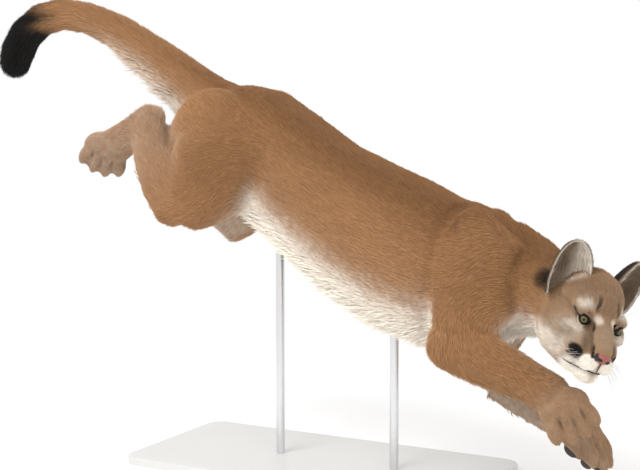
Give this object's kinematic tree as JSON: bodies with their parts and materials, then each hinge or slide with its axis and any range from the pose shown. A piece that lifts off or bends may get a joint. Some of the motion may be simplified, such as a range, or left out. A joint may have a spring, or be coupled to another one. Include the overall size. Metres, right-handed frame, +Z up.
{
  "type": "cougar, life-size still model on a display stand",
  "caption": "Life-size still model of a cougar leaping downwards with its forelegs reaching ahead and its tail up, held by two rods on a flat base.",
  "frame": {"origin": "centre of the underside of the stand's base", "axes": "+X the way the animal heads, +Y its left side, +Z up"},
  "size_m": [1.845, 0.4456, 1.2243],
  "materials": {
    "coat": "short dense tawny fur, paler below",
    "dark_fur": "short dense brown-black fur",
    "nose_leather": "fine-grained, slightly moist",
    "eye": "polished",
    "claw": "smooth horn",
    "whisker": "fine stiff hair",
    "base_board": "satin off-white lacquer",
    "rod_steel": "brushed"
  },
  "bodies": {
    "root": {"head": "coat", "neck": "coat", "torso": "coat", "tail_base": "coat", "tail_middle": "coat", "hind_foot_R": "coat", "hind_shank_R": "coat", "hind_thigh_R": "coat", "forepaw_R": "coat", "forearm_R": "coat", "upper_arm_R": "coat", "hind_foot_L": "coat", "hind_shank_L": "coat", "hind_thigh_L": "coat", "forepaw_L": "coat", "forearm_L": "coat", "upper_arm_L": "coat", "tail_tip": "dark_fur", "ear_L": "dark_fur", "ear_R": "dark_fur", "nose": "nose_leather", "eye_L": "eye", "eye_R": "eye", "stand_base": "base_board", "stand_rod_front": "rod_steel", "stand_rod_rear": "rod_steel"}
  },
  "joints": []
}
